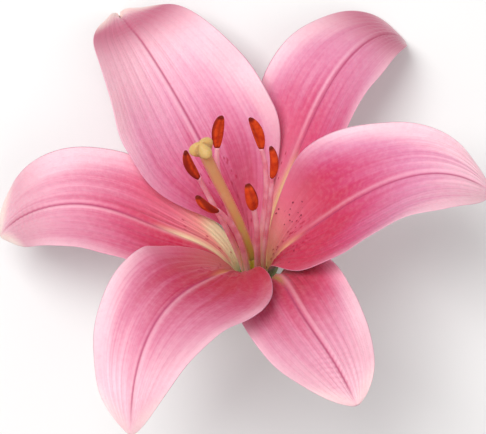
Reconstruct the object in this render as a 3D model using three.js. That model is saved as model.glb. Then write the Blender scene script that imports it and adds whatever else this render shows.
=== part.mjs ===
// Cut lily: one open bloom of a pink hybrid lily on the short stub of its stalk.
//
// Millimetres, +Z up. The flower is modelled in a frame of its own: the receptacle's top is z = 0,
// the flower's axis is +Z, and azimuths run counter-clockwise from +X. It is then leaned over, as a
// cut bloom lies, and set down on z = 0, where it rests on the stub's cut end and two tepal tips.

import * as THREE from "three";

// ---- Driving dimensions, in millimetres and degrees ----

const leanAngle = 32;
const leanTowards = 100;

// Clearances: touching pieces, and the play between one ring of the throat and the next.
const gap = 0.3;
const ringPlay = 0.45;

const ovaryRadius = 1.8;
const ovaryLength = 16;

const filamentRootWidth = 2.4;
const filamentRootThickness = 1.6;
const filamentTipRadius = 0.8;
const filamentTaper = 1.2;
const filamentReach = 54;

const antherLength = 11;
const antherWidth = 3.9;
const antherDepth = 3.2;
const antherBow = 2;

const styleRootRadius = 1.1;
const styleTopRadius = 1.9;
const stigmaRadius = 4.4;
const stigmaHeight = 4.4;

const tepalLength = 105;
const innerHalfWidth = 24;
const outerHalfWidth = 18;
const innerClawHalfWidth = 3;
const outerClawHalfWidth = 3.2;
const ribThickness = 1.5;
const ribThicknessAtTip = 0.8;
const marginThickness = 0.6;
const tipRoundness = 0.72;

const stalkRadius = 3.5;
const stalkLength = 4.5;
const receptacleDepth = 6;
const receptacleRim = 0.3;
const receptacleBevel = 0.9;

// ---- The throat: each ring clears the one inside it ----
//
// The filaments' ring also keeps the two roots that stand closest, in degrees round it, apart.

const closestRoots = 53;
const filamentRing = Math.max(
  ovaryRadius + ringPlay + filamentRootThickness / 2,
  (filamentRootWidth + gap) / (2 * Math.sin((closestRoots / 360) * Math.PI)),
);
const innerRing = filamentRing + filamentRootThickness / 2 + ringPlay + ribThickness / 2;
const outerRing = innerRing + ribThickness + ringPlay;
const receptacleRadius = outerRing + ribThickness / 2 + receptacleRim;

// ---- Tepals ----
//
// Left and right are as seen from the middle of the flower, looking out along the tepal.
// Stations run evenly from claw to tip: rise is the midrib's slope above the flower's base plane,
// bend its swing to the left, roll the blade's turn about the midrib. A cup is the angle that one
// half of the blade turns through from midrib to margin, towards the flower's middle.
// A half's belly is where it is widest, claw how late it widens, and tip how blunt its end is.

const innerTepals = [
  {
    name: "inner_tepal_1",
    azimuth: 6,
    length: tepalLength,
    left: { halfWidth: innerHalfWidth, belly: 0.5, claw: 1.4, tip: 1.8 },
    right: { halfWidth: innerHalfWidth - 0.5, belly: 0.49, claw: 2.4, tip: 2.2 },
    rise: [86, 56, 42, 17, -55],
    bend: [2, -10, 1, -5, -22],
    roll: [-11, 1, -11],
    cupLeft: [55, 55, 19, -5],
    cupRight: [60, 45, 39, 4],
  },
  {
    name: "inner_tepal_2",
    azimuth: 114,
    length: tepalLength + 4,
    left: { halfWidth: innerHalfWidth + 2, belly: 0.45, claw: 2.8, tip: 1.6 },
    right: { halfWidth: innerHalfWidth + 3, belly: 0.43, claw: 2.1, tip: 1.9 },
    rise: [41, 49, 36, 11, -67],
    bend: [-20, 8, 9, 9, -1],
    roll: [16, -2, 2],
    cupLeft: [60, 38, 39, 6],
    cupRight: [52, 39, 22, 7],
  },
  {
    name: "inner_tepal_3",
    azimuth: 239,
    length: tepalLength + 12,
    left: { halfWidth: innerHalfWidth + 2, belly: 0.53, claw: 2.7, tip: 1.2 },
    right: { halfWidth: innerHalfWidth - 3, belly: 0.48, claw: 1.2, tip: 2.2 },
    rise: [89, 57, 40, 6, -50],
    bend: [-19, 10, 2, 14, 30],
    roll: [11, 1, 14],
    cupLeft: [60, 38, 9, 3],
    cupRight: [60, 34, 0, -11],
  },
];

const outerTepals = [
  {
    name: "outer_tepal_1",
    azimuth: 59,
    length: tepalLength + 2,
    left: { halfWidth: outerHalfWidth + 3.5, belly: 0.57, claw: 1.2, tip: 1.9 },
    right: { halfWidth: outerHalfWidth - 2.5, belly: 0.49, claw: 1.3, tip: 2.2 },
    rise: [46, 42, 35, -7, -71],
    bend: [25, 0, -2, -9, -26],
    roll: [-15, -7, 3],
    cupLeft: [24, 20, 15, -5],
    cupRight: [43, 28, 24, -8],
  },
  {
    name: "outer_tepal_2",
    azimuth: 172,
    length: tepalLength - 5,
    left: { halfWidth: outerHalfWidth, belly: 0.49, claw: 1.3, tip: 2.3 },
    right: { halfWidth: outerHalfWidth + 3, belly: 0.58, claw: 1.05, tip: 2.1 },
    rise: [89, 45, 25, -13, -61],
    bend: [-17, 6, -4, 10, 18],
    roll: [10, 5, -12],
    cupLeft: [40, 19, 13, -13],
    cupRight: [26, 3, 12, 8],
  },
  {
    name: "outer_tepal_3",
    azimuth: 298,
    length: tepalLength - 8,
    left: { halfWidth: outerHalfWidth, belly: 0.55, claw: 1, tip: 2.4 },
    right: { halfWidth: outerHalfWidth + 0.5, belly: 0.52, claw: 1.3, tip: 2.5 },
    rise: [77, 65, 29, 7, -6],
    bend: [2, 4, -6, 2, -6],
    roll: [3, -6, -4],
    cupLeft: [47, 25, -7, -15],
    cupRight: [44, 25, 8, -14],
  },
];

// ---- Stamens and pistil ----
//
// The six stamens spread round a middle that droops off the flower's axis, and each anther carries
// on from its filament, tilted from the flower's axis towards its own azimuth.

const stamenMiddle = new THREE.Vector2(-1.6, 8.3);
const stamens = [
  { root: 6, around: -3, spread: 10.8, tilt: 19, tiltTowards: 81 },
  { root: 59, around: 59, spread: 13.8, tilt: 27, tiltTowards: 120 },
  { root: 114, around: 117, spread: 15, tilt: 27, tiltTowards: 66 },
  { root: 172, around: 177, spread: 12, tilt: 20, tiltTowards: 139 },
  { root: 239, around: 246, spread: 13.9, tilt: 26, tiltTowards: 195 },
  { root: 298, around: 294, spread: 13.8, tilt: 9, tiltTowards: 119 },
];

const stigmaPlace = new THREE.Vector3(-10, 7.8, 66.5);

// How far, as a share of its reach, a filament or the style runs straight at its two ends.
const filamentClimb = 0.4;
const filamentRunIn = 0.28;
const styleClimb = 0.35;

// How the radius runs along the anther, ovary and stigma: the stretch of a sine arch that it follows,
// how blunt the arch is made, and the least share of the full radius left at an end.
const antherOutline = { from: 0.04, to: 0.96, bluntness: 0.45, least: 0.22 };
const ovaryOutline = { from: 0.12, to: 0.92, bluntness: 0.35, least: 0 };
const stigmaOutline = { from: 0.08, to: 0.95, bluntness: 0.6, least: 0.35 };

// Relief round a section, as a share of its radius, and how many grooves or lobes it makes.
const antherWaist = 0.12;
const ovaryGroove = 0.08;
const ovaryGrooves = 6;
const styleRidge = 0.06;
const styleThickening = 0.8;
const stigmaLobe = 0.16;
const lobes = 3;

// The least turn of a tepal's section, which keeps its arc's radius finite where it lies flat.
const leastTurn = 1e-6;

// How far the pedicel's flare runs straight on from the stalk, and into the rim, as multiples of
// the depths where it starts and ends.
const neckPull = 0.7;
const rimPull = 1.9;

// ---- Materials ----

function finish(color, roughness) {
  return new THREE.MeshStandardMaterial({ color, roughness, metalness: 0 });
}

// ---- Small helpers ----

const radians = THREE.MathUtils.degToRad;

/** A point at a distance from the flower's axis. */
function polar(radius, azimuth, z = 0) {
  const angle = radians(azimuth);
  return new THREE.Vector3(radius * Math.cos(angle), radius * Math.sin(angle), z);
}

/** A unit vector tilted from +Z by `tilt` degrees towards an azimuth. */
function tilted(tilt, azimuth) {
  return polar(Math.sin(radians(tilt)), azimuth, Math.cos(radians(tilt)));
}

/** The smooth value at share t of a list of evenly spaced stations. */
function along(stations, t) {
  const last = stations.length - 1;
  const x = THREE.MathUtils.clamp(t, 0, 1) * last;
  const i = Math.min(Math.floor(x), last - 1);
  const before = i > 0 ? stations[i - 1] : 2 * stations[0] - stations[1];
  const after = i + 2 <= last ? stations[i + 2] : 2 * stations[last] - stations[last - 1];
  const [a, b] = [stations[i], stations[i + 1]];
  const f = x - i;
  const square = 2 * before - 5 * a + 4 * b - after;
  const cube = 3 * (a - b) + after - before;
  return a + 0.5 * f * (b - before + f * (square + f * cube));
}

/** A geometry from its points and the three corners of each face. */
function solid(points, faces) {
  const geometry = new THREE.BufferGeometry().setFromPoints(points);
  geometry.setIndex(faces);
  geometry.computeVertexNormals();
  return geometry;
}

/** The faces of the wall between each ring of a stack and the next, `size` points to a ring. */
function wall(count, size) {
  const faces = [];
  for (let i = 0; i < count - 1; i += 1) {
    for (let j = 0; j < size; j += 1) {
      const a = i * size + j;
      const b = i * size + (j + 1) % size;
      faces.push(a, b, b + size, a, b + size, a + size);
    }
  }
  return faces;
}

/** The faces from a ring, starting at one of its points, to a point past it. */
function cone(start, size, apex) {
  const faces = [];
  for (let j = 0; j < size; j += 1) {
    faces.push(start + j, start + (j + 1) % size, apex);
  }
  return faces;
}

/** Closes a stack of rings of equal length into one solid, each end on its ring's middle. */
function loft(rings) {
  const size = rings[0].length;
  const points = rings.flat();
  const middleOf = (ring) => (
    ring.reduce((sum, point) => sum.add(point), new THREE.Vector3()).divideScalar(size));
  const first = points.push(middleOf(rings[0])) - 1;
  const last = points.push(middleOf(rings.at(-1))) - 1;
  const faces = [
    ...wall(rings.length, size),
    ...cone(0, size, first).reverse(),
    ...cone((rings.length - 1) * size, size, last),
  ];
  return solid(points, faces);
}

/**
 * A solid swept along a curve. `section(t, angle)` gives the outline's two offsets: along `side`,
 * kept square to the curve, and along the direction square to both.
 */
function sweep(curve, side, section, rows, segments) {
  const rings = [];
  for (let i = 0; i <= rows; i += 1) {
    const t = i / rows;
    const centre = curve.getPointAt(t);
    const forward = curve.getTangentAt(t);
    const across = side.clone().addScaledVector(forward, -side.dot(forward)).normalize();
    const up = forward.clone().cross(across);
    const ring = [];
    for (let j = 0; j < segments; j += 1) {
      const [a, b] = section(t, (2 * Math.PI * j) / segments);
      ring.push(centre.clone().addScaledVector(across, a).addScaledVector(up, b));
    }
    rings.push(ring);
  }
  return loft(rings);
}

/** The share of the full radius at share t along a rounded body with this outline. */
function outlined({ from, to, bluntness, least }, t) {
  return Math.max(least, Math.sin(Math.PI * THREE.MathUtils.lerp(from, to, t)) ** bluntness);
}

// ---- Tepal: a thin blade that follows its midrib ----

/** Half-width at share u of the length: a narrow claw, the belly, then a closing tip. */
function halfWidthAt(u, half, clawHalfWidth) {
  if (u < half.belly) {
    const opened = Math.sin((Math.PI / 2) * (u / half.belly)) ** half.claw;
    return clawHalfWidth + (half.halfWidth - clawHalfWidth) * opened;
  }
  const past = (u - half.belly) / (1 - half.belly);
  return half.halfWidth * (1 - past ** half.tip) ** tipRoundness;
}

function tepalGeometry(shape, ring, clawHalfWidth) {
  const rows = 20;
  const perSide = 6;
  const substeps = 4;

  // Walk up the midrib in small steps, and keep a frame at each row.
  const frameAt = (u) => {
    const rise = radians(along(shape.rise, u));
    const bend = radians(along(shape.bend, u));
    const forward = new THREE.Vector3(
      Math.cos(rise) * Math.cos(bend),
      Math.cos(rise) * Math.sin(bend),
      Math.sin(rise),
    );
    const left = new THREE.Vector3(-Math.sin(bend), Math.cos(bend), 0);
    left.applyAxisAngle(forward, radians(along(shape.roll, u)));
    return { forward, left, inward: forward.clone().cross(left) };
  };
  const blade = [];
  const midrib = new THREE.Vector3(ring, 0, 0);
  const step = shape.length / (rows * substeps);
  for (let i = 0; i <= rows; i += 1) {
    const u = i / rows;
    const { left, inward } = frameAt(u);
    const rib = THREE.MathUtils.lerp(ribThickness, ribThicknessAtTip, u);
    const row = [];
    for (let j = -perSide; j <= perSide; j += 1) {
      const half = j < 0 ? shape.right : shape.left;
      const turn = radians(along(j < 0 ? shape.cupRight : shape.cupLeft, u)) + leastTurn;
      const v = Math.abs(j) / perSide;
      const width = halfWidthAt(u, half, clawHalfWidth);
      const out = (Math.sign(j) * width * Math.sin(turn * v)) / turn;
      const up = (width * (1 - Math.cos(turn * v))) / turn;
      const middle = midrib.clone().addScaledVector(left, out).addScaledVector(inward, up);
      const square = inward.clone().multiplyScalar(Math.cos(turn * v))
        .addScaledVector(left, -Math.sign(j) * Math.sin(turn * v));
      const thickness = THREE.MathUtils.lerp(rib, marginThickness, v);
      row.push({ middle, square, thickness });
    }
    blade.push(row);
    for (let k = 0; k < substeps; k += 1) {
      midrib.addScaledVector(frameAt((i + (k + 0.5) / substeps) / rows).forward, step);
    }
  }

  // Each row becomes a flat ring: along the outer face, then back along the inner face. The claw's
  // lowest corner clears the receptacle.
  const rings = blade.slice(0, -1).map((row) => {
    const face = (side) => row.map(({ middle, square, thickness }) => (
      middle.clone().addScaledVector(square, (side * thickness) / 2)));
    return [...face(-1), ...face(1).reverse()];
  });
  const geometry = closeAtTip(rings, blade.at(-1)[perSide].middle);
  const lowest = Math.min(...rings[0].map((point) => point.z));
  geometry.translate(0, 0, gap - lowest);
  geometry.rotateZ(radians(shape.azimuth));
  return geometry;
}

/** Joins rings to a single tip point, and closes the claw end with a strip across its thickness. */
function closeAtTip(rings, tip) {
  const size = rings[0].length;
  const points = [...rings.flat(), tip];
  const faces = [
    ...wall(rings.length, size),
    ...cone((rings.length - 1) * size, size, points.length - 1),
  ];
  for (let a = 0; a < size / 2 - 1; a += 1) {
    const b = a + 1;
    faces.push(b, a, size - 1 - a, b, size - 1 - a, size - 1 - b);
  }
  return solid(points, faces);
}

// ---- Stamen: a filament that tapers to its anther ----

function stamenRoute({ root, around, spread, tilt, tiltTowards }) {
  const start = polar(filamentRing, root, gap);
  const end = polar(spread, around).add(new THREE.Vector3(stamenMiddle.x, stamenMiddle.y, 0));
  end.z = Math.sqrt(filamentReach ** 2 - end.lengthSq());
  const heading = tilted(tilt, tiltTowards);
  return {
    curve: new THREE.CubicBezierCurve3(
      start,
      start.clone().add(new THREE.Vector3(0, 0, filamentReach * filamentClimb)),
      end.clone().addScaledVector(heading, -filamentReach * filamentRunIn),
      end,
    ),
    heading,
    across: polar(1, root + 90),
  };
}

function filamentGeometry(stamen) {
  const { curve, across } = stamenRoute(stamen);
  return sweep(curve, across, (t, angle) => {
    const taper = (1 - t) ** filamentTaper;
    const wide = THREE.MathUtils.lerp(filamentTipRadius, filamentRootWidth / 2, taper);
    const thick = THREE.MathUtils.lerp(filamentTipRadius, filamentRootThickness / 2, taper);
    return [wide * Math.cos(angle), thick * Math.sin(angle)];
  }, 14, 8);
}

/** Two pollen lobes side by side, bowed a little, starting just past the filament's tip. */
function antherGeometry(stamen) {
  const { curve, heading, across } = stamenRoute(stamen);
  const start = curve.getPoint(1).addScaledVector(heading, gap);
  const bow = polar(antherBow, stamen.around);
  const spine = new THREE.QuadraticBezierCurve3(
    start,
    start.clone().addScaledVector(heading, antherLength / 2).add(bow),
    start.clone().addScaledVector(heading, antherLength),
  );
  return sweep(spine, across, (t, angle) => {
    const full = outlined(antherOutline, t);
    const waist = 1 - antherWaist * Math.sin(angle) ** 2;
    const wide = (antherWidth / 2) * full * waist * Math.cos(angle);
    const deep = (antherDepth / 2) * full * waist * Math.sin(angle);
    return [wide, deep];
  }, 9, 12);
}

// ---- Pistil: grooved ovary, long style, three-lobed stigma ----

function ovaryGeometry() {
  const route = new THREE.LineCurve3(
    new THREE.Vector3(0, 0, gap),
    new THREE.Vector3(0, 0, gap + ovaryLength),
  );
  return sweep(route, new THREE.Vector3(1, 0, 0), (t, angle) => {
    const groove = 1 - (ovaryGroove / 2) * (1 - Math.cos(ovaryGrooves * angle));
    const radius = ovaryRadius * groove * outlined(ovaryOutline, t);
    return [radius * Math.cos(angle), radius * Math.sin(angle)];
  }, 6, 24);
}

function styleRoute() {
  const start = new THREE.Vector3(0, 0, ovaryLength + 2 * gap);
  const heading = stigmaPlace.clone().sub(start).normalize();
  const climb = stigmaPlace.distanceTo(start) * styleClimb;
  return new THREE.CubicBezierCurve3(
    start,
    start.clone().add(new THREE.Vector3(0, 0, climb)),
    stigmaPlace.clone().addScaledVector(heading, -climb),
    stigmaPlace,
  );
}

function styleGeometry() {
  return sweep(styleRoute(), new THREE.Vector3(1, 0, 0), (t, angle) => {
    const radius = THREE.MathUtils.lerp(styleRootRadius, styleTopRadius, t ** styleThickening)
      * (1 + styleRidge * Math.cos(lobes * angle));
    return [radius * Math.cos(angle), radius * Math.sin(angle)];
  }, 14, 12);
}

/** A low head with three lobes and a furrow between each two, on the style's end. */
function stigmaGeometry() {
  const heading = styleRoute().getTangent(1);
  const start = stigmaPlace.clone().addScaledVector(heading, gap);
  const route = new THREE.LineCurve3(start, start.clone().addScaledVector(heading, stigmaHeight));
  return sweep(route, new THREE.Vector3(1, 0, 0), (t, angle) => {
    const lobe = 1 - stigmaLobe * (1 + Math.cos(lobes * angle));
    const radius = stigmaRadius * lobe * outlined(stigmaOutline, t);
    return [radius * Math.cos(angle), radius * Math.sin(angle)];
  }, 6, 24);
}

// ---- Pedicel: the cut stub of the stalk, flaring into the receptacle ----

function pedicelGeometry() {
  const neck = new THREE.Vector2(stalkRadius, -receptacleDepth);
  const rim = new THREE.Vector2(receptacleRadius, -2 * receptacleBevel);
  const flare = new THREE.CubicBezierCurve(
    neck,
    new THREE.Vector2(neck.x, neck.y * neckPull),
    new THREE.Vector2(rim.x, rim.y * rimPull),
    rim,
  );
  const profile = [
    new THREE.Vector2(0, -receptacleDepth - stalkLength),
    new THREE.Vector2(stalkRadius, -receptacleDepth - stalkLength),
    ...flare.getPoints(8),
    new THREE.Vector2(receptacleRadius - receptacleBevel, 0),
    new THREE.Vector2(0, 0),
  ];
  const geometry = new THREE.LatheGeometry(profile, 28);
  geometry.rotateX(Math.PI / 2);
  return geometry;
}

// ---- Assembly ----

const flower = new THREE.Group();

function place(name, geometry, material) {
  const mesh = new THREE.Mesh(geometry, material);
  mesh.name = name;
  flower.add(mesh);
}

place("pedicel", pedicelGeometry(), finish(0x8f9c5a, 0.6));
for (const shape of innerTepals) {
  place(shape.name, tepalGeometry(shape, innerRing, innerClawHalfWidth), finish(0xe58ab0, 0.55));
}
for (const shape of outerTepals) {
  place(shape.name, tepalGeometry(shape, outerRing, outerClawHalfWidth), finish(0xdf7ba6, 0.55));
}
stamens.forEach((stamen, index) => {
  place(`filament_${index + 1}`, filamentGeometry(stamen), finish(0xd77f9b, 0.45));
  place(`anther_${index + 1}`, antherGeometry(stamen), finish(0xb8341a, 0.85));
});
place("ovary", ovaryGeometry(), finish(0x9db35a, 0.5));
place("style", styleGeometry(), finish(0xc9a06a, 0.45));
place("stigma", stigmaGeometry(), finish(0xd8c07a, 0.6));

// Lean the flower over, then set it down with the origin under the middle of its box.
const horizontal = polar(1, leanTowards + 90);
flower.quaternion.setFromAxisAngle(horizontal, radians(leanAngle));
flower.updateMatrixWorld(true);
const box = new THREE.Box3().setFromObject(flower, true);
const middle = box.getCenter(new THREE.Vector3());
flower.position.set(-middle.x, -middle.y, -box.min.z);

const lily = new THREE.Group();
lily.add(flower);

export default lily;
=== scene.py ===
"""Cut lily: one open pink bloom on a short cut stub, lying face up on a pale floor."""

import bpy
import numpy as np
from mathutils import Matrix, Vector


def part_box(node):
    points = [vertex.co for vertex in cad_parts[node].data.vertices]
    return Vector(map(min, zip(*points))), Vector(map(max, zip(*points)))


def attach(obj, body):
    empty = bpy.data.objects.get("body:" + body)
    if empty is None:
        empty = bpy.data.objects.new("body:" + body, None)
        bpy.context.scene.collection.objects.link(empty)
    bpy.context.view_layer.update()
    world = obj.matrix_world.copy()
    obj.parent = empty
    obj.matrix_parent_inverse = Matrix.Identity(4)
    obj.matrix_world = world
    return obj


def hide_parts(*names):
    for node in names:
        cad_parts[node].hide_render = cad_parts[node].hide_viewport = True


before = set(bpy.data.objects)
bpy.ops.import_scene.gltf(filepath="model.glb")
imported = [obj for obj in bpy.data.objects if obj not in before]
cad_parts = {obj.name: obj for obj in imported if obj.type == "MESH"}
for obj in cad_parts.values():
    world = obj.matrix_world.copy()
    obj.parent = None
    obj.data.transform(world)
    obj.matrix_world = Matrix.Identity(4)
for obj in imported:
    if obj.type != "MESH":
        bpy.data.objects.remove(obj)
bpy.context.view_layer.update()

# ---- Pedicel ----
# The stub of the flower stalk, sappy green tissue cut straight across with a knife. It flares into
# the receptacle, the flat top that every other part of the flower grows from.

# Sizes are in millimetres. A ring is the distance from the flower's axis to the roots that stand on
# it, and each ring clears the one inside it by the play.
MM = 0.001
LEAN = np.radians(32)
LEAN_TOWARDS = np.radians(100)
OVARY_RADIUS = 1.8
FILAMENT_ROOT = (2.4, 1.6)
RIB_THICKNESS = 1.5
RING_PLAY = 0.45
GAP = 0.3
FILAMENT_RING = OVARY_RADIUS + RING_PLAY + FILAMENT_ROOT[1] / 2
INNER_RING = FILAMENT_RING + FILAMENT_ROOT[1] / 2 + RING_PLAY + RIB_THICKNESS / 2
OUTER_RING = INNER_RING + RIB_THICKNESS + RING_PLAY
RECEPTACLE_RIM = 0.3
RECEPTACLE_RADIUS = OUTER_RING + RIB_THICKNESS / 2 + RECEPTACLE_RIM
RECEPTACLE_BEVEL = 0.9
RECEPTACLE_DEPTH = 6
NECK_PULL = 0.7
RIM_PULL = 1.9
STALK_RADIUS = 3.5
STALK_LENGTH = 4.5
STALK_EDGE = 0.15
CUT_RING = 1.5
POLE_RING = 0.05


def leaned(points):
    """Turns points from the flower's own frame to the way it lies: about the horizontal line square to
    the side it leans to, by the lean, after Rodrigues' formula."""
    axis = np.array([-np.sin(LEAN_TOWARDS), np.cos(LEAN_TOWARDS), 0.0])
    along = (points @ axis)[..., None] * axis
    turned = np.cross(np.broadcast_to(axis, points.shape), points)
    return points * np.cos(LEAN) + turned * np.sin(LEAN) + along * (1 - np.cos(LEAN))


def bezier(points, t):
    """The cubic curve of four control points: each weighted by its share of (1 - t) and t."""
    a, b, c, d = (np.asarray(point, float) for point in points)
    t = np.asarray(t)[:, None]
    return (1 - t) ** 3 * a + 3 * t * (1 - t) ** 2 * b + 3 * t * t * (1 - t) * c + t ** 3 * d


def turned_rings(profile, around=64):
    """Each profile point (radius, height) swept round the flower's axis."""
    angle = np.linspace(0, 2 * np.pi, around, endpoint=False)
    radius, height = np.asarray(profile, float).T
    flat = np.stack([np.cos(angle), np.sin(angle), 0 * angle], -1)
    return radius[:, None, None] * flat + height[:, None, None] * np.array([0.0, 0.0, 1.0])


def skin(name, rings, **marks):
    """A closed, smooth skin over a stack of rings in the flower's frame, in millimetres: neighbours on
    a ring and on the next make a face, and the end rings close on their middles. Marks are vectors
    kept at each point for the material to read."""
    rows, around = rings.shape[:2]
    ends = rings[[0, -1]].mean(axis=1)
    points = (leaned(np.concatenate([rings.reshape(-1, 3), ends])) + SEAT) * MM
    here = np.arange(rows * around).reshape(rows, around)
    beside = np.roll(here, -1, axis=1)
    walls = np.stack([here[:-1], beside[:-1], beside[1:], here[1:]], -1).reshape(-1, 4)
    first = np.stack([np.full(around, rows * around), beside[0], here[0]], -1)
    last = np.stack([np.full(around, rows * around + 1), here[-1], beside[-1]], -1)
    mesh = bpy.data.meshes.new(name)
    mesh.from_pydata(points, [], walls.tolist() + first.tolist() + last.tolist())
    mesh.shade_smooth()
    for mark, values in marks.items():
        values = np.broadcast_to(values, (rows, around, 3))
        kept = mesh.attributes.new(mark, "FLOAT_VECTOR", "POINT")
        capped = np.concatenate([values.reshape(-1, 3), values[[0, -1]].mean(axis=1)])
        kept.data.foreach_set("vector", capped.astype(np.float32).ravel())
    made = bpy.data.objects.new(name, mesh)
    bpy.context.scene.collection.objects.link(made)
    return made


class Shade:
    """One value in a material's nodes. Arithmetic on it adds Math nodes, and node() adds any other."""

    def __init__(self, tree, socket=None):
        self.tree = tree
        self.socket = socket

    def node(self, kind, settings=None, inputs=None, out=0):
        """A node of a type, with its settings first and then the value or link of each input."""
        made = self.tree.nodes.new("ShaderNode" + kind)
        for name, value in (settings or {}).items():
            setattr(made, name, value)
        for name, value in (inputs or {}).items():
            if isinstance(value, Shade):
                self.tree.links.new(value.socket, made.inputs[name])
            else:
                made.inputs[name].default_value = value
        return Shade(self.tree, made.outputs[out])

    def math(self, operation, first, *rest):
        return self.node("Math", {"operation": operation}, dict(enumerate((first, *rest))))

    def mark(self, name):
        """The three numbers that skin() kept at each point under this name."""
        kept = self.node("Attribute", {"attribute_name": name}, out="Vector")
        return [self.node("SeparateXYZ", None, {0: kept}, out=i) for i in range(3)]

    def __add__(self, other):
        return self.math("ADD", self, other)

    def __sub__(self, other):
        return self.math("SUBTRACT", self, other)

    def __rsub__(self, other):
        return self.math("SUBTRACT", other, self)

    def __mul__(self, other):
        return self.math("MULTIPLY", self, other)

    def __truediv__(self, other):
        return self.math("DIVIDE", self, other)

    def __pow__(self, other):
        return self.math("POWER", self, other)

    def __abs__(self):
        return self.math("ABSOLUTE", self)

    __radd__ = __add__
    __rmul__ = __mul__

    def ramp(self, low, high):
        """0 below low and 1 above high, with an eased climb; low above high turns it round."""
        limits = {"Value": self, "From Min": low, "From Max": high}
        return self.node("MapRange", {"interpolation_type": "SMOOTHSTEP"}, limits)

    def line(self, width):
        """1 where the value is 0, falling off both ways as a bell of this half-width."""
        return self.math("EXPONENT", (self / width) ** 2 * -1)


def colour(code):
    """A colour written as six hex digits, as the linear values that a shader takes."""
    shares = np.array([int(code[i:i + 2], 16) for i in (0, 2, 4)]) / 255
    linear = np.where(shares <= 0.04045, shares / 12.92, ((shares + 0.055) / 1.055) ** 2.4)
    return (*linear.tolist(), 1.0)


def mixed(base, over, amount):
    """One colour over another, by an amount that varies over the surface."""
    inputs = {0: amount, 6: base, 7: over}
    return amount.node("Mix", {"data_type": "RGBA"}, inputs, out=2)


def new_finish(name, fixed):
    """A material with these plain settings on its Principled shader, and a Shade to build on."""
    material = bpy.data.materials.new(name)
    material.use_nodes = True
    shader = material.node_tree.nodes["Principled BSDF"]
    for socket, value in fixed.items():
        shader.inputs[socket].default_value = value
    return material, Shade(material.node_tree)


def feed(material, varying):
    """Joins the values that change over the surface to the Principled shader."""
    shader = material.node_tree.nodes["Principled BSDF"]
    for socket, value in varying.items():
        material.node_tree.links.new(value.socket, shader.inputs[socket])


def grown(piece, node, material):
    """Dresses a piece and lets it stand for its CAD node."""
    piece.data.materials.append(material)
    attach(piece, "root")
    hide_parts(node)


def pedicel_profile():
    """Up the stalk, out along a flare to the rim, and in over the rounded edge of the flat top, a quarter
    of an ellipse. The pulls set how long the flare stays straight at the neck and at the rim."""
    neck = (STALK_RADIUS, -RECEPTACLE_DEPTH)
    rim = (RECEPTACLE_RADIUS, -2 * RECEPTACLE_BEVEL)
    controls = [neck, (neck[0], neck[1] * NECK_PULL), (rim[0], rim[1] * RIM_PULL), rim]
    flare = bezier(controls, np.linspace(0, 1, 24))
    foot = -RECEPTACLE_DEPTH - STALK_LENGTH
    bevel = [(STALK_RADIUS - STALK_EDGE, foot), (STALK_RADIUS, foot + STALK_EDGE)]
    turn = np.linspace(0, np.pi / 2, 8)[1:]
    inwards = rim[0] - RECEPTACLE_BEVEL * (1 - np.cos(turn))
    edge = np.stack([inwards, rim[1] * (1 - np.sin(turn))], -1).tolist()
    return [(POLE_RING, foot), (CUT_RING, foot), *bevel, *flare.tolist(), *edge, (POLE_RING, 0)]


# The stub's place in the frame seats the whole flower.
rings = turned_rings(pedicel_profile())
lying = leaned(rings).reshape(-1, 3)
SEAT = np.mean(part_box("pedicel"), axis=0) / MM - (lying.min(axis=0) + lying.max(axis=0)) / 2


def stalk_finish():
    """Mid green in paler patches, with a darker speckle that makes its fine relief too."""
    material, shade = new_finish("stalk", {"Roughness": 0.5, "Subsurface Weight": 0.15})
    place = shade.node("TexCoord", out="Object")
    speckle = shade.node("TexNoise", None, {"Vector": place, "Scale": 900.0, "Detail": 3.0})
    patches = shade.node("TexNoise", None, {"Vector": place, "Scale": 160.0, "Detail": 2.0})
    green = mixed(colour("7f9147"), colour("a7b26a"), patches.ramp(0.35, 0.7))
    feed(material, {"Base Color": mixed(green, colour("5f7336"), speckle.ramp(0.5, 0.8) * 0.5)})
    feed(material, {"Normal": shade.node("Bump", None, {"Height": speckle, "Distance": 0.0001})})
    return material


grown(skin("flower_stalk", rings), "pedicel", stalk_finish())

# ---- Tepals ----
# Six thin, satin blades of petal tissue in two rings: three broad inner ones in front of three
# narrower outer ones. Each grows from a narrow claw, arches out over a grooved midrib and curls
# back at its tip. Pale at the margins, deep rose in the throat, with a cream nectary furrow.

INNER_CLAW = 3.0
OUTER_CLAW = 3.2
BLADE_THICKNESS = 0.42
RIB_AT_CLAW = 1.1
RIB_LOSS = 0.6
RIB_SPREAD = 2.6
MARGIN_SQUARENESS = 24
TIP_ROUNDNESS = 0.72
LAST_ROW = 0.997
LEAST_TURN = 1e-6

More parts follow.
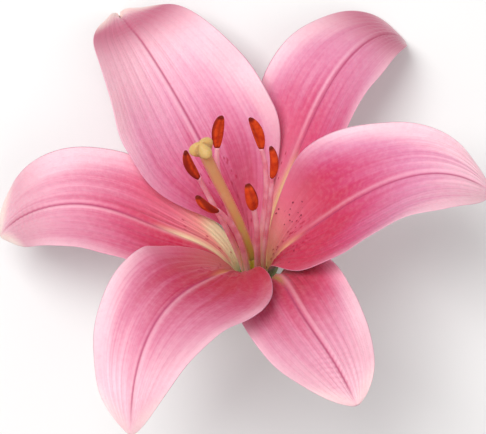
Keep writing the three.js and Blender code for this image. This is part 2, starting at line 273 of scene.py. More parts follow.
# Left and right are as seen from the middle of the flower. Stations run evenly from claw to tip:
# rise is the midrib's slope, bend its swing to the left, roll the blade's turn about it, and cups
# the turn of each half from midrib to margin. A half is its widest width, where that is, how late
# it widens and how blunt it ends.
TEPALS = {
    "inner_tepal_1": dict(
        azimuth=6, length=105,
        left=(24, 0.5, 1.4, 1.8), right=(23.5, 0.49, 2.4, 2.2),
        rise=(86, 56, 42, 17, -55), bend=(2, -10, 1, -5, -22), roll=(-11, 1, -11),
        cup_left=(55, 55, 19, -5), cup_right=(60, 45, 39, 4),
    ),
    "inner_tepal_2": dict(
        azimuth=114, length=109,
        left=(26, 0.45, 2.8, 1.6), right=(27, 0.43, 2.1, 1.9),
        rise=(41, 49, 36, 11, -67), bend=(-20, 8, 9, 9, -1), roll=(16, -2, 2),
        cup_left=(60, 38, 39, 6), cup_right=(52, 39, 22, 7),
    ),
    "inner_tepal_3": dict(
        azimuth=239, length=117,
        left=(26, 0.53, 2.7, 1.2), right=(21, 0.48, 1.2, 2.2),
        rise=(89, 57, 40, 6, -50), bend=(-19, 10, 2, 14, 30), roll=(11, 1, 14),
        cup_left=(60, 38, 9, 3), cup_right=(60, 34, 0, -11),
    ),
    "outer_tepal_1": dict(
        azimuth=59, length=107,
        left=(21.5, 0.57, 1.2, 1.9), right=(15.5, 0.49, 1.3, 2.2),
        rise=(46, 42, 35, -7, -71), bend=(25, 0, -2, -9, -26), roll=(-15, -7, 3),
        cup_left=(24, 20, 15, -5), cup_right=(43, 28, 24, -8),
    ),
    "outer_tepal_2": dict(
        azimuth=172, length=100,
        left=(18, 0.49, 1.3, 2.3), right=(21, 0.58, 1.05, 2.1),
        rise=(89, 45, 25, -13, -61), bend=(-17, 6, -4, 10, 18), roll=(10, 5, -12),
        cup_left=(40, 19, 13, -13), cup_right=(26, 3, 12, 8),
    ),
    "outer_tepal_3": dict(
        azimuth=298, length=97,
        left=(18, 0.55, 1, 2.4), right=(18.5, 0.52, 1.3, 2.5),
        rise=(77, 65, 29, 7, -6), bend=(2, 4, -6, 2, -6), roll=(3, -6, -4),
        cup_left=(47, 25, -7, -15), cup_right=(44, 25, 8, -14),
    ),
}


def along(stations, t):
    """The smooth value at share t of evenly spaced stations: a cubic through each pair, with the slope
    at a station taken from its two neighbours."""
    values = np.asarray(stations, float)
    ends = (2 * values[0] - values[1], 2 * values[-1] - values[-2])
    padded = np.concatenate([ends[:1], values, ends[1:]])
    x = np.clip(t, 0, 1) * (len(values) - 1)
    i = np.minimum(x.astype(int), len(values) - 2)
    f = x - i
    before, a, b, after = (padded[i + k] for k in range(4))
    curve = 2 * before - 5 * a + 4 * b - after + f * (3 * (a - b) + after - before)
    return a + 0.5 * f * (b - before + f * curve)


def half_width(u, half, claw):
    """Claw to belly as a power of a quarter sine wave, then belly to tip as a closing power curve."""
    widest, belly, lateness, bluntness = half
    opened = np.sin(np.pi / 2 * np.clip(u / belly, 0, 1)) ** lateness
    past = np.clip((u - belly) / (1 - belly), 0, 1)
    closing = widest * np.maximum(1 - past ** bluntness, 0) ** TIP_ROUNDNESS
    return np.where(u < belly, claw + (widest - claw) * opened, closing)


def rotated_about(vector, axis, angle):
    """Vectors turned about their axes, which they are square to."""
    angle = angle[:, None]
    return vector * np.cos(angle) + np.cross(axis, vector) * np.sin(angle)


def bell(x, middle, spread):
    """A bell curve of height 1."""
    return np.exp(-((x - middle) / spread) ** 2)


def tepal_rings(shape, ring, claw, relief, rows=260, columns=120):
    """The blade as closed rings from claw to tip. The midrib is the running sum of its slope and swing.
    Across it each half is an arc that turns through its cup, moved off that arc by the relief, and
    the two faces stand half a thickness off it, drawn together at the margins. In the marks s is the
    share of the way to the margin, left positive, u the share of the length, and across is in mm."""
    u = np.linspace(0, LAST_ROW, rows)
    rise = np.radians(along(shape["rise"], u))
    bend = np.radians(along(shape["bend"], u))
    forward = np.stack([np.cos(rise) * np.cos(bend), np.cos(rise) * np.sin(bend), np.sin(rise)], -1)
    left = np.stack([-np.sin(bend), np.cos(bend), 0 * bend], -1)
    left = rotated_about(left, forward, np.radians(along(shape["roll"], u)))
    inward = np.cross(forward, left)
    steps = (forward[1:] + forward[:-1]) / 2 * (u[1] - u[0]) * shape["length"]
    midrib = np.concatenate([np.zeros((1, 3)), np.cumsum(steps, axis=0)]) + np.array([ring, 0, 0])

    s = np.linspace(-1, 1, columns + 1)[None, :]
    u = u[:, None]
    cup = np.where(s < 0, along(shape["cup_right"], u), along(shape["cup_left"], u))
    turn = np.radians(cup) + LEAST_TURN
    width = np.where(s < 0, half_width(u, shape["right"], claw), half_width(u, shape["left"], claw))
    v = np.abs(s)
    out = np.sign(s) * width * np.sin(turn * v) / turn
    up = width * (1 - np.cos(turn * v)) / turn
    middle = midrib[:, None] + out[..., None] * left[:, None] + up[..., None] * inward[:, None]
    square = np.cos(turn * v)[..., None] * inward[:, None]
    square = square - (np.sign(s) * np.sin(turn * v))[..., None] * left[:, None]

    across = s * width
    rib = (RIB_AT_CLAW - RIB_LOSS * u) * bell(across, 0, RIB_SPREAD)
    closing = np.sqrt(np.maximum(1 - v ** MARGIN_SQUARENESS, 0))
    thickness = (BLADE_THICKNESS + rib) * closing
    face_lift, back_lift, spots = relief(u, s, across)
    face = middle + (thickness / 2 + face_lift)[..., None] * square
    back = middle + (-thickness / 2 + back_lift)[..., None] * square
    place = np.stack(np.broadcast_arrays(s, u, across), -1)
    side = np.stack(np.broadcast_arrays(1.0, spots[0], spots[1]), -1)
    rings, place, side = (
        np.concatenate([below, above[:, -2:0:-1]], axis=1)
        for below, above in ((back, face), (place, place), (0 * side, side))
    )
    rings[..., 2] += GAP - rings[0, :, 2].min()
    azimuth = np.radians(shape["azimuth"])
    x, y = rings[..., 0].copy(), rings[..., 1].copy()
    rings[..., 0] = x * np.cos(azimuth) - y * np.sin(azimuth)
    rings[..., 1] = x * np.sin(azimuth) + y * np.cos(azimuth)
    return rings, place, side


TYPICAL_LENGTH = 105
GOLDEN_SHARE = 0.618


def dots(u, across, count, span, reach, radius, stretch, random):
    """Round bumps of height 1 scattered over one face, both sides of the midrib: span and reach are the
    least and most of the length share and of the distance off the midrib in millimetres. Their sizes
    run from 0.7 to 1.3 of the radius, and the stretch draws each out along the blade."""
    at = random.uniform(span[0], span[1], count)
    off = random.uniform(reach[0], reach[1], count) * random.choice((-1, 1), count)
    total = np.zeros(np.broadcast_shapes(u.shape, across.shape))
    for one, (middle, aside) in enumerate(zip(at, off)):
        size = radius * (0.7 + 0.6 * (one * GOLDEN_SHARE % 1))
        lengthways = bell(u * TYPICAL_LENGTH, middle * TYPICAL_LENGTH, size * stretch)
        total = np.maximum(total, lengthways * bell(across, aside, size))
    return total


END_FADE = 0.08
GROOVE_DEPTH, GROOVE_SPREAD = 0.5, 0.7
BANK_HEIGHT, BANK_SPREAD, BANK_OFF = 0.6, 0.8, 1.9
KEEL_HEIGHT, KEEL_SPREAD = 0.7, 1.5
VEIN_RIBS = ((0.10, 7, 0), (0.025, 17, 5))
RUFFLE_WAVES = (2.3, 4.1, 6.7)
SWELL_HEIGHT, SWELL_WAVES = 0.5, 3.1
RIPPLE_HEIGHT = 0.16
FOLD_RIM, FOLD_HOLLOW = 1.8, 0.9
FRECKLE_HEIGHT, FRECKLE_RADIUS = 0.22, 0.25
PAPILLA_HEIGHT, PAPILLA_RADIUS = 0.28, 0.3


def tepal_relief(random, furrow, ruffle, freckles, papillae, ripples, lips):
    """How far each face stands off the plain blade, in millimetres, and where its dots are. A groove runs
    over the midrib with a keel behind it, and two banks stand beside the nectary. Faint ribs follow
    the veins, and a soft ruffle grows to the margin. Freckles and papillae are small bumps near the
    throat, ripples are short waves across the midrib, and lips are the raised rim of a folded tip."""
    wander = random.uniform(0, 2 * np.pi, 6)

    def relief(u, s, across):
        ends = np.clip(u / END_FADE, 0, 1) * np.clip((1 - u) / END_FADE, 0, 1)
        groove = -GROOVE_DEPTH * bell(across, 0, GROOVE_SPREAD) * ends
        banks = BANK_HEIGHT * bell(np.abs(across), BANK_OFF, BANK_SPREAD)
        banks = banks * bell(u, furrow * 0.5, furrow * 0.45)
        keel = -KEEL_HEIGHT * bell(across, 0, KEEL_SPREAD) * ends * (1.2 - u)
        ribs = sum(
            height * np.cos(2 * np.pi * s * count + wander[i]) * ends * (1 - s ** 2)
            for height, count, i in VEIN_RIBS
        )
        waves = sum(
            np.sin(2 * np.pi * u * count + wander[i] + np.sign(s) * wander[i + 1]) / count
            for i, count in enumerate(RUFFLE_WAVES)
        )
        grown_in = np.clip(u / 0.35 - 0.5, 0, 1) * np.clip((1 - u) / 0.1, 0, 1)
        margin = ruffle * np.abs(s) ** 4 * waves * grown_in
        swell = SWELL_HEIGHT * np.sin(2 * np.pi * u * SWELL_WAVES + wander[2])
        swell = swell * np.abs(s) ** 1.5 * grown_in
        short = np.sin(u * 330 + 1.2 * np.sin(across * 0.9 + wander[3]) + np.abs(across) * 0.8)
        wrinkled = RIPPLE_HEIGHT * ripples * short * bell(u, 0.86, 0.09) * bell(across, 0.5, 5)
        rim = bell(u, 0.985, 0.05) * bell(np.abs(s), 0.65, 0.4)
        fold = lips * (FOLD_RIM * rim - FOLD_HOLLOW * bell(u, 0.86, 0.05) * bell(s, 0.2, 0.6))
        fleck = dots(u, across, freckles, (0.21, 0.34), (4, 14), FRECKLE_RADIUS, 1.4, random)
        bump = dots(u, across, papillae, (0.1, 0.36), (1.8, 6.5), PAPILLA_RADIUS, 2.6, random)
        both = ribs + margin + swell + wrinkled + fold
        face_lift = groove + banks + both + FRECKLE_HEIGHT * fleck + PAPILLA_HEIGHT * bump
        return face_lift, keel + both, (fleck, bump)

    return relief


HUES = {
    name: colour(code)
    for name, code in dict(
        blade="f6c1cf", margin="fad6de", streak="c04876", bloom="fadbe2", pit="b8406c",
        cloud="cf5a86", vein="bd2f62", midrib="ad3163", rib_light="f8cad6", coral_and_painted_light="fa90aa",
        apricot_and_painted_light="ffc4a4", painted_half_shade="a8506f", painted_shade_of_curl="b54b6c", tip="fbe9dc", papilla="b92a4f",
        freckle="7a1238", back="f3c3d2", back_band="e690b2", back_vein="d9709c",
        keel="c9cf9b", olive_claw_and_painted_shade="6f7c2e",
    ).items()
}


def tepal_finish(name, seed, reach, deep, rose, blush, base, cream, claw, side_claw, coral_and_painted_light, painted_lit_side,
                 tip, painted_curl_shade):
    """Satin petal tissue. The deep colour of the throat runs out in streaks that follow the veins, through
    rose and blush, to pale margins. The midrib is a darker line, the nectary furrow is cream, the
    claw takes its base colour, freckles are maroon and papillae red. Light and shade are painted in
    too: one half is painted paler as lit and the other darker as in shade, the throat takes a coral
    tint that is partly painted light, and the curl before the tip is painted shade. The back is paler,
    with a green keel and a dark olive claw, partly its own green and partly painted shade."""
    material, shade = new_finish(name, {
        "Subsurface Weight": 0.15, "Subsurface Radius": (0.002, 0.0008, 0.001),
        "Sheen Weight": 0.1, "Sheen Roughness": 0.35, "Specular IOR Level": 0.35,
    })
    s, u, across = shade.mark("place")
    face, fleck, bump = shade.mark("side")
    body = shade.node("TexCoord", out="Object")
    edge = abs(s)

    def streaks(count, stretch, detail):
        """Noise drawn out along the veins."""
        point = shade.node("CombineXYZ", None, {0: s * count, 1: u * stretch, 2: float(seed)})
        return shade.node("TexNoise", None, {"Vector": point, "Scale": 1.0, "Detail": detail})

    broad = streaks(5.0, 1.6, 2.0)
    fine = streaks(30.0, 1.4, 3.0)
    grain = shade.node("TexNoise", None, {"Vector": body, "Scale": 650.0, "Detail": 3.0})
    cloud = shade.node("TexNoise", None, {"Vector": body, "Scale": 60.0, "Detail": 2.0})

    # How far past the throat's colour a point is: less on a streak, more at the margins, and more on
    # the half that is painted paler as lit, which is painted light.
    out = u - reach + (0.5 - broad) * 0.22 + (0.5 - fine) * 0.13
    out = out + edge * edge * 0.13 + (s * painted_lit_side).ramp(0.45, 1.0) * 0.2
    pink = mixed(HUES["blade"], colour(blush), out.ramp(0.42, 0.16))
    pink = mixed(pink, colour(rose), out.ramp(0.24, -0.02))
    pink = mixed(pink, colour(deep), out.ramp(0.06, -0.14))
    pink = mixed(pink, HUES["margin"], edge.ramp(0.75, 1.0) * u.ramp(0.3, 0.6) * 0.4)

    # Streaks and a fine mottle all over, and dark veins beside the midrib in the throat.
    pink = mixed(pink, HUES["streak"], fine.ramp(0.5, 0.72) * (1 - edge ** 4) * 0.16)
    pink = mixed(pink, HUES["bloom"], grain.ramp(0.35, 0.8) * 0.09)
    pink = mixed(pink, HUES["pit"], grain.ramp(0.55, 0.25) * 0.07)
    pink = mixed(pink, HUES["cloud"], cloud.ramp(0.45, 0.7) * 0.07)
    veins = fine.ramp(0.45, 0.68) * across.line(8) * u.ramp(0.62, 0.35)
    pink = mixed(pink, HUES["vein"], veins * 0.5)

    # The midrib's dark line, with a pale one on its left.
    midrib = across.line(0.42) * u.ramp(0.2, 0.4) * u.ramp(1.0, 0.9)
    pink = mixed(pink, HUES["midrib"], midrib * 0.75)
    beside = (across - 1.2).line(0.7) * u.ramp(0.2, 0.4) * u.ramp(1.0, 0.85)
    pink = mixed(pink, HUES["rib_light"], beside * 0.3)

    # The throat takes a coral and apricot tint on the half painted as lit: partly the tissue's own
    # colour and partly painted light.
    lit = (s * painted_lit_side + (fine - 0.5) * 1.2).ramp(-0.4, 0.7) * coral_and_painted_light
    pink = mixed(pink, HUES["coral_and_painted_light"], u.ramp(cream + 0.2, cream - 0.08) * lit)
    pink = mixed(pink, HUES["apricot_and_painted_light"], u.ramp(cream - 0.02, cream - 0.24) * lit)
    # Painted shade: the half away from the light is darkened further out.
    painted_half_shade = (s * painted_lit_side).ramp(0.2, -0.7) * u.ramp(0.35, 0.7)
    pink = mixed(pink, HUES["painted_half_shade"], painted_half_shade * 0.2)
    # Painted shade in the curl just before the tip.
    pink = mixed(pink, HUES["painted_shade_of_curl"], (u - 0.87).line(0.1) * painted_curl_shade)

    # The nectary furrow, the claw, the pale tip, and the papillae and freckles.
    furrow = across.line(1.1) * u.ramp(cream + 0.04, cream - 0.12)
    pink = mixed(pink, colour(base), furrow * 0.85)
    clawed = (u - (0 - s).ramp(0.1, 0.6) * side_claw + edge * 0.02).ramp(claw + 0.06, claw - 0.03)
    pink = mixed(pink, colour(base), clawed)
    pink = mixed(pink, HUES["tip"], (u + edge * 0.1).ramp(0.95, 1.03) * tip)
    pink = mixed(pink, HUES["papilla"], bump.ramp(0.25, 0.7) * 0.75)
    pink = mixed(pink, HUES["freckle"], fleck.ramp(0.2, 0.6) * 0.9)

    # The back: banded and veined, with the green keel, and a dark olive claw that is partly its own green
    # and partly painted shade.
    under = mixed(HUES["back"], HUES["back_band"], broad.ramp(0.4, 0.65))
    under = mixed(under, HUES["back_vein"], fine.ramp(0.5, 0.75) * 0.4)
    under = mixed(under, HUES["keel"], across.line(1.6) * u.ramp(1.0, 0.6) * 0.8)
    under = mixed(under, HUES["olive_claw_and_painted_shade"], u.ramp(0.24, 0.09))
    feed(material, {"Base Color": mixed(under, pink, face)})

    cells = shade.node("TexVoronoi", None, {"Vector": body, "Scale": 1500.0}, out="Distance")
    height = fine + broad * 0.6 + cells * 0.3
    raised = shade.node("Bump", None, {"Height": height, "Distance": 0.00025, "Strength": 0.6})
    feed(material, {"Normal": raised, "Roughness": 0.36 + grain * 0.16})
    return material


# Furrow is the nectary's share of the length and ruffle the margin's wave in millimetres. Ripples
# and lips are strengths, and freckles and papillae are counts.
RELIEFS = {
    "inner_tepal_1": dict(furrow=0.3, ruffle=1.2, freckles=26, papillae=56, ripples=0, lips=0),
    "inner_tepal_2": dict(furrow=0.3, ruffle=1.0, freckles=0, papillae=20, ripples=0.3, lips=1.5),
    "inner_tepal_3": dict(furrow=0.4, ruffle=1.4, freckles=0, papillae=50, ripples=0.2, lips=0),
    "outer_tepal_1": dict(furrow=0.35, ruffle=0.8, freckles=0, papillae=16, ripples=0.3, lips=0),
    "outer_tepal_2": dict(furrow=0.45, ruffle=0.9, freckles=0, papillae=12, ripples=0.8, lips=0),
    "outer_tepal_3": dict(furrow=0.45, ruffle=0.7, freckles=0, papillae=20, ripples=1.2, lips=0),
}
# Reach is the share of the length that the throat's colour covers, cream that of the furrow and
# claw that of the base colour, which side_claw draws out on the right half. The lit side is the half
# that is painted paler as lit, 1 for the left and -1 for the right, and the other half is painted in
# shade. Coral, tip and the tip's shade are strengths: of a coral tint in the throat, partly painted
# light, of the pale tip, and of the painted shade just before the tip.
FINISHES = {
    "inner_tepal_1": dict(
        reach=0.57, deep="c62a50", rose="cc4676", blush="da86aa",
        base="ffd6a4", cream=0.31, claw=0.09, side_claw=0.0, coral_and_painted_light=0.75, painted_lit_side=1,
        tip=0.1, painted_curl_shade=0.0,
    ),
    "inner_tepal_2": dict(
        reach=0.36, deep="c83e62", rose="da6690", blush="e698b8",
        base="ecd6a6", cream=0.16, claw=0.05, side_claw=0.0, coral_and_painted_light=0.4, painted_lit_side=-1,
        tip=0.65, painted_curl_shade=0.85,
    ),
    "inner_tepal_3": dict(
        reach=0.54, deep="b60830", rose="c03c64", blush="dc82a0",
        base="e8b060", cream=0.36, claw=0.06, side_claw=0.0, coral_and_painted_light=0.25, painted_lit_side=-1,
        tip=0.3, painted_curl_shade=0.0,
    ),
    "outer_tepal_1": dict(
        reach=0.56, deep="d44a76", rose="d4668f", blush="df8eae",
        base="f8e4a6", cream=0.37, claw=0.08, side_claw=0.0, coral_and_painted_light=0.7, painted_lit_side=1,
        tip=0.1, painted_curl_shade=0.8,
    ),
    "outer_tepal_2": dict(
        reach=0.52, deep="c41a46", rose="d4587e", blush="e292ac",
        base="f8f1c4", cream=0.4, claw=0.07, side_claw=0.15, coral_and_painted_light=0.85, painted_lit_side=-1,
        tip=0.7, painted_curl_shade=0.3,
    ),
    "outer_tepal_3": dict(
        reach=0.58, deep="b40c36", rose="ca486f", blush="e296b0",
        base="c8ac50", cream=0.44, claw=0.07, side_claw=0.0, coral_and_painted_light=0.2, painted_lit_side=1,
        tip=0.3, painted_curl_shade=0.1,
    ),
}
FIRST_SEED = 3
for seed, (node, shape) in enumerate(TEPALS.items()):
    inner = node.startswith("inner")
    ring, claw = (INNER_RING, INNER_CLAW) if inner else (OUTER_RING, OUTER_CLAW)
    relief = tepal_relief(np.random.default_rng(seed + FIRST_SEED), **RELIEFS[node])
    rings, place, side = tepal_rings(shape, ring, claw, relief)
    petal = node.replace("tepal", "petal")
    blade = skin(petal, rings, place=place, side=side)
    grown(blade, node, tepal_finish(petal, seed, **FINISHES[node]))

# ---- Filaments ----
# Six smooth stamen stalks of petal tissue, flat and broad at the root and round at the tip. They
# stand in a ring round the ovary and spread out, drooping together to the side the flower leans.

FILAMENT_REACH = 54
FILAMENT_TIP = 0.8
FILAMENT_TAPER = 1.2
FILAMENT_CLIMB = 0.4
FILAMENT_RUN_IN = 0.28
FILAMENT_STEPS = 90
STAMEN_MIDDLE = np.array([-1.6, 8.3, 0])

# Azimuths and tilts in degrees: the root's place on the ring, the tip's place round the middle and
# its distance from there, and how the anther leans and which way.
STAMENS = (
    dict(root=6, around=-3, spread=10.8, tilt=19, tilt_towards=81),
    dict(root=59, around=59, spread=13.8, tilt=27, tilt_towards=120),
    dict(root=114, around=117, spread=15, tilt=27, tilt_towards=66),
    dict(root=172, around=177, spread=12, tilt=20, tilt_towards=139),
    dict(root=239, around=246, spread=13.9, tilt=26, tilt_towards=195),
    dict(root=298, around=294, spread=13.8, tilt=9, tilt_towards=119),
)


def direction(azimuth, tilt=90):
    """The unit vector tilted off the flower's axis towards an azimuth, in degrees."""
    azimuth, tilt = np.radians(azimuth), np.radians(tilt)
    return np.array([np.sin(tilt) * np.cos(azimuth), np.sin(tilt) * np.sin(azimuth), np.cos(tilt)])


def carried(route, across, wide, deep):
    """A section carried along a route: at each step a wide and a deep offset, per angle, are laid along
    the across direction made square to the route and along the direction square to both."""
    forward = np.gradient(route, axis=0)
    forward /= np.linalg.norm(forward, axis=1, keepdims=True)
    level = across - (forward @ across)[:, None] * forward
    level /= np.linalg.norm(level, axis=1, keepdims=True)
    upright = np.cross(forward, level)
    return route[:, None] + wide[..., None] * level[:, None] + deep[..., None] * upright[:, None]


def stamen_route(stamen):
    """From its root on the ring up the flower's axis, then over to its tip at the anther's tilt."""
    start = FILAMENT_RING * direction(stamen["root"]) + np.array([0, 0, GAP])
    end = stamen["spread"] * direction(stamen["around"]) + STAMEN_MIDDLE
    end[2] = np.sqrt(FILAMENT_REACH ** 2 - end @ end)
    heading = direction(stamen["tilt_towards"], stamen["tilt"])
    climb = start + np.array([0, 0, FILAMENT_REACH * FILAMENT_CLIMB])
    run_in = end - heading * FILAMENT_REACH * FILAMENT_RUN_IN
    return bezier([start, climb, run_in, end], np.linspace(0, 1, FILAMENT_STEPS)), heading


def filament_finish():
    """Rose pink in lighter patches, paling and then turning green at the root, with a satin gloss."""
    material, shade = new_finish("filament", {"Roughness": 0.35, "Subsurface Weight": 0.2})
    u = shade.mark("place")[1]
    body = shade.node("TexCoord", out="Object")
    patch = shade.node("TexNoise", None, {"Vector": body, "Scale": 220.0, "Detail": 3.0})
    rosy = mixed(colour("d9708a"), colour("efa9b6"), patch.ramp(0.3, 0.7))
    pale = mixed(rosy, colour("eebfae"), u.ramp(0.5, 0.15))
    feed(material, {"Base Color": mixed(pale, colour("dbe09a"), u.ramp(0.16, 0.0))})
    feed(material, {"Normal": shade.node("Bump", None, {"Height": patch, "Distance": 0.0001})})
    return material


def round_angles(count):
    """Even angles round a section, as a row."""
    return np.linspace(0, 2 * np.pi, count, endpoint=False)[None, :]


def place_marks(rings, ridges=0):
    """Marks for a material that changes along a stem and round it: the height on its ridges, from -1 to
    1, and the share of its length."""
    share = np.linspace(0, 1, len(rings))[:, None]
    ridge = np.cos(ridges * round_angles(rings.shape[1]))
    return np.stack(np.broadcast_arrays(ridge, share, 0.0), -1)


angle = round_angles(24)
pink_stalk = filament_finish()
for number, stamen in enumerate(STAMENS, 1):
    route, heading = stamen_route(stamen)
    taper = (1 - np.linspace(0, 1, FILAMENT_STEPS)[:, None]) ** FILAMENT_TAPER
    wide = (FILAMENT_TIP + (FILAMENT_ROOT[0] / 2 - FILAMENT_TIP) * taper) * np.cos(angle)
    deep = (FILAMENT_TIP + (FILAMENT_ROOT[1] / 2 - FILAMENT_TIP) * taper) * np.sin(angle)
    rings = carried(route, direction(stamen["root"] + 90), wide, deep)
    stalk = skin(f"stamen_stalk_{number}", rings, place=place_marks(rings))
    grown(stalk, f"filament_{number}", pink_stalk)

# ---- Anthers ----
# Two long pollen sacs side by side on each filament, split open along their length and thick with
# powdery orange-red pollen that darkens to maroon at the ends.

ANTHER_LENGTH = 11
ANTHER_WIDTH = 3.9
ANTHER_DEPTH = 3.2
ANTHER_BOW = 2
ANTHER_OUTLINE = (0.04, 0.92, 0.45, 0.22)
ANTHER_WAIST = 0.12
SPLIT_DEPTH = 0.1
SPLIT_SHARPNESS = 16


def outlined(outline, t):
    """How full a piece is at share t of its length: a sine arch, of which the outline takes the stretch
    from its start over its span, raised to its bluntness and never under its least value."""
    start, span, bluntness, least = outline
    return np.maximum(least, np.sin(np.pi * (start + span * t)) ** bluntness)[:, None]


def anther_finish():
    """Orange-red powder with a fine relief, maroon down one side, in the split and at both ends."""
    material, shade = new_finish("anther", {"Roughness": 0.8, "Specular IOR Level": 0.15})
    split, u, flank = shade.mark("place")
    body = shade.node("TexCoord", out="Object")
    powder = shade.node("TexVoronoi", None, {"Vector": body, "Scale": 3500.0}, out="Distance")
    patch = shade.node("TexNoise", None, {"Vector": body, "Scale": 450.0, "Detail": 3.0})
    red = mixed(colour("e2501c"), colour("c83614"), patch.ramp(0.35, 0.7))
    red = mixed(red, colour("7d1512"), flank.ramp(0.6, 1.0) * 0.8)
    ends = abs(u - 0.5).ramp(0.4, 0.5)
    dark = mixed(red, colour("5c0f0e"), ends * 0.85)
    feed(material, {"Base Color": mixed(dark, colour("7a1a18"), split * 0.35)})
    height = powder + patch * 0.6
    feed(material, {"Normal": shade.node("Bump", None, {"Height": height, "Distance": 0.0002})})
    return material


pollen = anther_finish()
angle = round_angles(48)
split = np.sin(angle) ** SPLIT_SHARPNESS
waist = 1 - ANTHER_WAIST * np.sin(angle) ** 2 - SPLIT_DEPTH * split
for number, stamen in enumerate(STAMENS, 1):
    route, heading = stamen_route(stamen)
    t = np.linspace(0, 1, 64)
    start = route[-1] - GAP * heading
    bow = direction(stamen["around"]) * ANTHER_BOW
    end = route[-1] + heading * (GAP + ANTHER_LENGTH)
    middle = (start + end) / 2 + bow

    # A parabola from end to end, pulled towards the bowed middle.
    spine = bezier([start, start / 3 + middle * 2 / 3, end / 3 + middle * 2 / 3, end], t)
    full = outlined(ANTHER_OUTLINE, t)
    wide = ANTHER_WIDTH / 2 * full * waist * np.cos(angle)
    deep = ANTHER_DEPTH / 2 * full * waist * np.sin(angle)
    rings = carried(spine, direction(stamen["root"] + 90), wide, deep)
    marks = np.stack(np.broadcast_arrays(split, t[:, None], np.cos(angle)), -1)
    sacs = skin(f"pollen_sacs_{number}", rings, place=marks)
    grown(sacs, f"anther_{number}", pollen)

# ---- Pistil ----
# The ovary is a short green column with six grooves, between the filament roots. The style runs on
# from it, thickening upwards, and ends in the stigma, a sticky pad of three lobes.

OVARY_LENGTH = 16
OVARY_OUTLINE = (0.12, 0.8, 0.35, 0)
OVARY_GROOVE = 0.1
OVARY_GROOVES = 6
STYLE_ROOT, STYLE_TOP = 1.1, 1.9
STYLE_THICKENING = 0.8
STYLE_RIDGE = 0.06
STYLE_CLIMB = 0.35
STIGMA_PLACE = np.array([-10, 7.8, 66.5])
STIGMA_RADIUS = 4.4
STIGMA_HEIGHT = 4.4
STIGMA_OUTLINE = (0.08, 0.87, 0.6, 0.35)
STIGMA_LOBE = 0.2
LOBES = 3


def stem(route, radius, angle):
    """A stem along a route, whose radius changes along it and round it."""
    return carried(route, np.array([1.0, 0, 0]), radius * np.cos(angle), radius * np.sin(angle))


def pistil_finish(name, low, high, ridge, roughness, bump, scale):
    """One colour that runs into another along the piece, with another where the ridge mark is high, on
    the ridges of the ovary and style and in the creases between the stigma's lobes, where it is painted
    shade, and a fine cell relief."""
    material, shade = new_finish(name, {"Roughness": roughness, "Subsurface Weight": 0.2})
    rise, u, _ = shade.mark("place")
    body = shade.node("TexCoord", out="Object")
    patch = shade.node("TexNoise", None, {"Vector": body, "Scale": scale, "Detail": 3.0})
    blend = u + (patch - 0.5) * 0.5
    flesh = mixed(colour(low), colour(high), blend.ramp(0.05, 0.6))
    flesh = mixed(flesh, colour(ridge), (rise + (patch - 0.5) * 1.2).ramp(0.1, 0.9) * 0.6)
    feed(material, {"Base Color": mixed(flesh, colour("fff2d8"), patch.ramp(0.5, 0.75) * 0.12)})
    feed(material, {"Normal": shade.node("Bump", None, {"Height": patch, "Distance": bump})})
    return material


t = np.linspace(0, 1, 60)
column = np.stack([0 * t, 0 * t, GAP + OVARY_LENGTH * t], -1)
angle = round_angles(72)
grooved = 1 - OVARY_GROOVE * (0.5 - 0.5 * np.cos(OVARY_GROOVES * angle))
rings = stem(column, OVARY_RADIUS * grooved * outlined(OVARY_OUTLINE, t), angle)
green = pistil_finish("ovary", "a4c43a", "c4dc4a", "dcec80", 0.3, 0.0001, 300.0)
grown(skin("green_ovary", rings, place=place_marks(rings, OVARY_GROOVES)), "ovary", green)

t = np.linspace(0, 1, 110)
start = np.array([0, 0, OVARY_LENGTH + 2 * GAP])
heading = STIGMA_PLACE - start
climb = STYLE_CLIMB * np.linalg.norm(heading)
heading = heading / np.linalg.norm(heading)
controls = [start, start + np.array([0, 0, climb]), STIGMA_PLACE - heading * climb, STIGMA_PLACE]
route = bezier(controls, t)
angle = round_angles(48)
thickness = STYLE_ROOT + (STYLE_TOP - STYLE_ROOT) * t[:, None] ** STYLE_THICKENING
rings = stem(route, thickness * (1 + STYLE_RIDGE * np.cos(LOBES * angle)), angle)
tan = pistil_finish("style", "b9c75c", "cf9d6c", "d48078", 0.3, 0.00012, 260.0)
grown(skin("long_style", rings, place=place_marks(rings, LOBES)), "style", tan)

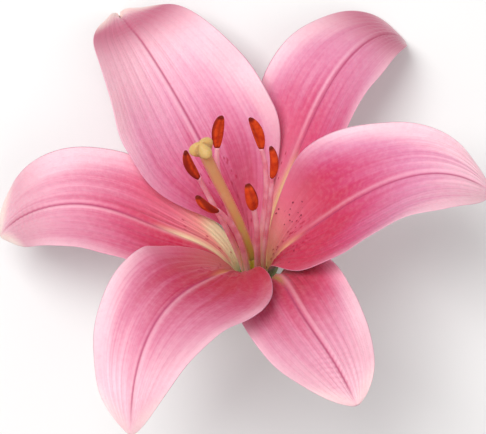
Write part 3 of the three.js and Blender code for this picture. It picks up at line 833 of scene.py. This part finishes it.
t = np.linspace(0, 1, 48)
axis = route[-1] - route[-2]
axis = axis / np.linalg.norm(axis)
route = STIGMA_PLACE + ((STIGMA_HEIGHT + 2 * GAP) * t[:, None] - GAP) * axis
angle = round_angles(120)
lobed = 1 - STIGMA_LOBE - STIGMA_LOBE * np.cos(LOBES * angle)
rings = stem(route, STIGMA_RADIUS * lobed * outlined(STIGMA_OUTLINE, t), angle)
# The stigma's darker tan lies in the creases between its lobes: painted shade.
pad = pistil_finish("stigma", "b08644", "cfa260", "94703c", 0.55, 0.0003, 900.0)
grown(skin("stigma_pad", rings, place=place_marks(rings, LOBES)), "stigma", pad)

# ---- Floor, light and camera ----
# A plain pale floor, broad soft lamps overhead, and a camera that looks straight down at the bloom.
# Places and sizes are in metres, powers in watts and the lens in millimetres.

FLOOR_HALF = 1.5
CAMERA_HEIGHT = 0.7033
CAMERA_OFF = np.array([0.0015, -0.0037])
LENS = 156.4
ROOM_STRENGTH = 0.46

mesh = bpy.data.meshes.new("floor")
corners = FLOOR_HALF * np.array([(-1, -1, 0), (1, -1, 0), (1, 1, 0), (-1, 1, 0)])
mesh.from_pydata(corners, [], [(0, 1, 2, 3)])
floor = bpy.data.objects.new("floor", mesh)
bpy.context.scene.collection.objects.link(floor)
pale, _ = new_finish("floor", {"Base Color": colour("ededec"), "Roughness": 0.9})
mesh.materials.append(pale)


def soft_lamp(name, place, size, power):
    """A square lamp of this size that faces the flower."""
    light = bpy.data.lights.new(name, "AREA")
    light.size = size
    light.energy = power
    lamp = bpy.data.objects.new(name, light)
    lamp.location = place
    lamp.rotation_euler = (-lamp.location).to_track_quat("-Z", "Y").to_euler()
    bpy.context.scene.collection.objects.link(lamp)


soft_lamp("key_lamp", (-0.3, 0.3, 0.95), 0.55, 7.9)
soft_lamp("fill_lamp", (0.5, -0.4, 1.0), 1.0, 2.5)
world = bpy.data.worlds.new("room")
world.use_nodes = True
room_light = world.node_tree.nodes["Background"].inputs
room_light["Color"].default_value = (1, 1, 1, 1)
room_light["Strength"].default_value = ROOM_STRENGTH
bpy.context.scene.world = world
bpy.context.scene.view_settings.view_transform = "Standard"

view = bpy.data.cameras.new("camera")
view.lens = LENS
camera = bpy.data.objects.new("camera", view)
camera.location = (*CAMERA_OFF, CAMERA_HEIGHT)
bpy.context.scene.collection.objects.link(camera)
bpy.context.scene.camera = camera
